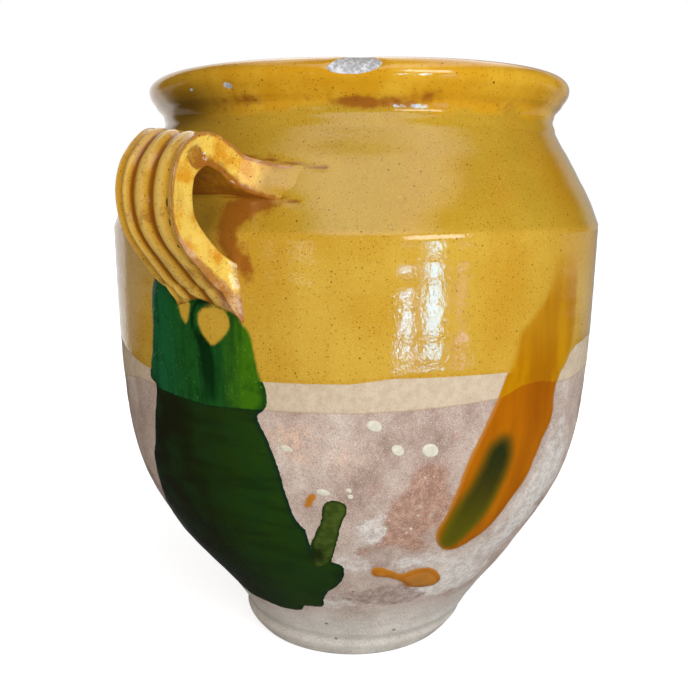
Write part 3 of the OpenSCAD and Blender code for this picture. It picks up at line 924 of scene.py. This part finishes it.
facing = at.node("FunctionNodeAlignRotationToVector", {"axis": "Z"}, {
    "Vector": stored("facing", "FLOAT_VECTOR")})
facing = at.node("FunctionNodeRotateRotation", {"rotation_space": "LOCAL"}, {
    "Rotation": facing, "Rotate By": at.node("FunctionNodeAxisAngleToRotation", {}, {
        "Axis": (0, 0, 1), "Angle": stored("turn", "FLOAT")})})
laid = at.node("GeometryNodeInstanceOnPoints", {}, {
    "Points": given["Points"], "Instance": bead, "Rotation": facing,
    "Scale": stored("size", "FLOAT_VECTOR")})
laid = at.node("GeometryNodeRealizeInstances", {}, {"Geometry": laid})
wander = at.node("ShaderNodeTexNoise", {"noise_dimensions": "4D"}, {
    "W": given["Seed"], "Scale": 420.0}, "Color")
wander = at.node("ShaderNodeVectorMath", {"operation": "SUBTRACT"}, {0: wander, 1: (0.5, 0.5, 0.5)})
wander = at.node("ShaderNodeVectorMath", {"operation": "SCALE"}, {0: wander, "Scale": given["Wobble"]})
laid = at.node("GeometryNodeSetPosition", {}, {"Geometry": laid, "Offset": wander})
laid = at.node("GeometryNodeSetShadeSmooth", {}, {"Geometry": laid})
end_tree(drops_tree, laid, given["Finish"])

# Each drop: degrees round, millimetres up, half its length, half its breadth, its turn in degrees
cream_drops = [(213.6, 126.6, 3, 2.1, 15), (218.3, 116.8, 2.6, 1.9, 0), (224.9, 115.8, 3.3, 2.6, 25),
               (196.4, 116.9, 2.6, 1.2, 0), (203.6, 99.8, 2.7, 1.4, 12), (208.8, 100.9, 1.2, 0.9, 0),
               (209.1, 98.3, 1.1, 1, 0), (216.7, 83.4, 0.6, 0.6, 0), (222.5, 82.5, 0.6, 0.6, 0),
               (96, 118, 2.2, 1.3, 30), (121, 104, 1.7, 1.2, 0), (312, 112, 2.4, 1.4, 70),
               (327, 122, 1.5, 1.1, 10)]
drop_height = 0.00028
cream = bpy.data.materials.new("dried_slip")
points = []
facings = []
for turn_at, up_at, *_ in cream_drops:
    z = up_at / 1000
    r = float(wall_radius(z))
    slope = float(wall_slope(z))
    points.append((r * cos(radians(turn_at)), r * sin(radians(turn_at)), z))
    facings.append(Vector((cos(radians(turn_at)), sin(radians(turn_at)), -slope)).normalized())
drop_points = bpy.data.meshes.new("drop_points")
drop_points.from_pydata(settled(np.array(points)).tolist(), [], [])
for name, kind, values in (
        ("facing", "FLOAT_VECTOR", [c for f in facings for c in f]),
        ("size", "FLOAT_VECTOR", [c for d in cream_drops for c in (d[3] / 1000, d[2] / 1000, drop_height)]),
        ("turn", "FLOAT", [radians(d[4]) for d in cream_drops])):
    stored_at = drop_points.attributes.new(name, kind, "POINT")
    stored_at.data.foreach_set("vector" if kind == "FLOAT_VECTOR" else "value", values)
drops = grown("cream_drops", drop_points, drops_tree, **{
    "Rings": 12, "Wobble": 0.0004, "Seed": 5.0, "Finish": cream})
clay = bare_tree(cream)
place = clay.node("ShaderNodeTexCoord", out="Object")
cream_tone = mix(cloud(500, 4).step(0.35, 0.7), (206, 194, 170), (222, 212, 188))
put_out(clay.node("ShaderNodeBsdfPrincipled", {}, {"Base Color": cream_tone, "Roughness": 0.6}))
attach(drops, "root")


# The studio: a white floor and backdrop, a broad soft light above, a window's light in front, and a camera
# at the height of the shoulder, looking a little down.
camera_turn = radians(-60)
ahead = Vector((-sin(camera_turn), cos(camera_turn), 0))
rightward = Vector((cos(camera_turn), sin(camera_turn), 0))


def from_camera(right, back, up_by):
    """A place given as seen by the camera: to its right, toward it, and up, in metres from the pot's foot."""
    return tuple(rightward * right - ahead * back + Vector((0, 0, up_by)))


def studio_lamp(name, seen_at, aim_height, wide, tall, watts, tint=(1, 1, 1)):
    light = bpy.data.lights.new(name, "AREA")
    light.shape = "RECTANGLE"
    light.size = wide
    light.size_y = tall
    light.energy = watts
    light.color = tint
    lamp = bpy.data.objects.new(name, light)
    lamp.location = from_camera(*seen_at)
    to_pot = Vector((0, 0, aim_height)) - lamp.location
    lamp.rotation_euler = to_pot.to_track_quat("-Z", "Y").to_euler()
    bpy.context.scene.collection.objects.link(lamp)
    return lamp


key = studio_lamp("soft_key", (0.28, 1.82, 0.65), 0.15, 1.3, 1.1, 18)
key.visible_glossy = False
studio_lamp("window_left", (0.224, 0.611, 0.052), 0.17, 0.024, 0.075, 0.2, (0.3, 0.68, 1))
studio_lamp("window_middle", (0.333, 0.552, 0.082), 0.17, 0.066, 0.11, 0.42, (0.2, 0.62, 1))
studio_lamp("window_right", (0.443, 0.473, 0.098), 0.17, 0.03, 0.012, 0.02, (0.35, 0.36, 1))
studio_lamp("window_low", (0.44, 0.455, 0.022), 0.16, 0.04, 0.016, 0.04, (0.4, 0.4, 1))
studio_lamp("window_top", (0.33, 0.54, 0.31), 0.2, 0.27, 0.17, 0.9)
studio_lamp("window_beyond", (-0.23, 0.6, 0.15), 0.19, 0.1, 0.014, 0.016)
studio_lamp("window_end", (-0.36, 0.53, 0.15), 0.19, 0.03, 0.014, 0.005)


def along(flow, way):
    """How far a flow of vectors goes along a way."""
    return flow.node("ShaderNodeVectorMath", {"operation": "DOT_PRODUCT"}, {0: flow, 1: way}, "Value")


# The camera sees the floor white with the pot's shadow on it. The glaze mirrors it dark in front of the pot.
stage_mesh = bpy.data.meshes.new("studio_floor")
stage_mesh.from_pydata([(-6, -6, 0), (6, -6, 0), (6, 6, 0), (-6, 6, 0)], [], [(0, 1, 2, 3)])
stage = bpy.data.objects.new("studio_floor", stage_mesh)
bpy.context.scene.collection.objects.link(stage)
white = bpy.data.materials.new("white_floor")
floor_flow = bare_tree(white)
seen = floor_flow.node("ShaderNodeLightPath", out="Is Camera Ray")
mirrored = floor_flow.node("ShaderNodeLightPath", out="Is Glossy Ray")
spot = floor_flow.node("ShaderNodeTexCoord", out="Object")
distance = floor_flow.node("ShaderNodeVectorMath", {"operation": "LENGTH"}, {0: spot}, "Value")
behind = along(spot, ahead)
leftward = along(spot, -rightward)
back_left = leftward.step(0.3, 0.6) * behind.step(0.3, 0.6)
floor_tone = floor_flow.node("ShaderNodeMix", {"data_type": "RGBA"}, {
    0: mirrored * behind.step(0.8, 0.3) * (1 - back_left),
    6: (0.8, 0.8, 0.8, 1), 7: (0.06, 0.06, 0.06, 1)}, 2)
matt_white = floor_flow.node("ShaderNodeBsdfDiffuse", {}, {"Color": floor_tone})
# The floor also glows back and to the left, seen only in the glaze, for a pale reflection along the pot's
# left edge
far_left = (behind * 1.15 - leftward).step(-0.1, 0.1) * leftward.step(0, 0.25)
floor_glow = floor_flow.node("ShaderNodeEmission", {}, {
    "Color": (1, 1, 1, 1),
    "Strength": seen * (0.66 + distance.step(0.1, 0.45) * 0.34) + mirrored * far_left * 0.6})
put_out(floor_flow.node("ShaderNodeAddShader", {}, {0: matt_white, 1: floor_glow}))
stage_mesh.materials.append(white)

# The room as the glaze mirrors it: dim, with a bright ceiling band and a pale far wall
world = bpy.data.worlds.new("studio")
bpy.context.scene.world = world
sky = bare_tree(world)
seen = sky.node("ShaderNodeLightPath", out="Is Camera Ray")
mirrored = sky.node("ShaderNodeLightPath", out="Is Glossy Ray")
way = sky.node("ShaderNodeTexCoord", out="Generated")
rise = way.part("Z")
to_right = along(way, rightward)
sideways = (to_right / rise.most(0.05) - 0.15).maths("ABSOLUTE")
ceiling = rise.step(0.42, 0.58) * rise.step(0.985, 0.88) * sideways.step(0.8, 0.35)
far_wall = along(way, ahead).step(0.62, 0.76) * (0.95 - to_right.step(0, 0.2) * 0.55)
room = 0.03 + ceiling * 1.6 + far_wall
put_out(sky.node("ShaderNodeBackground", {}, {
    "Color": (1, 1, 1, 1), "Strength": seen + (1 - seen) * (1 - mirrored) * 0.36 + mirrored * room}),
    "ShaderNodeOutputWorld")

camera_data = bpy.data.cameras.new("camera")
camera_data.lens = 43.02
camera_data.sensor_width = 36
camera_data.shift_x = -0.01265
camera_data.clip_start = 0.05
camera = bpy.data.objects.new("camera", camera_data)
camera.location = from_camera(0, 0.3993, 0.209)
camera_pitch = radians(10.15)
camera.rotation_euler = (pi / 2 - camera_pitch, 0, camera_turn)
bpy.context.scene.collection.objects.link(camera)
bpy.context.scene.camera = camera
bpy.context.scene.view_settings.view_transform = "Standard"
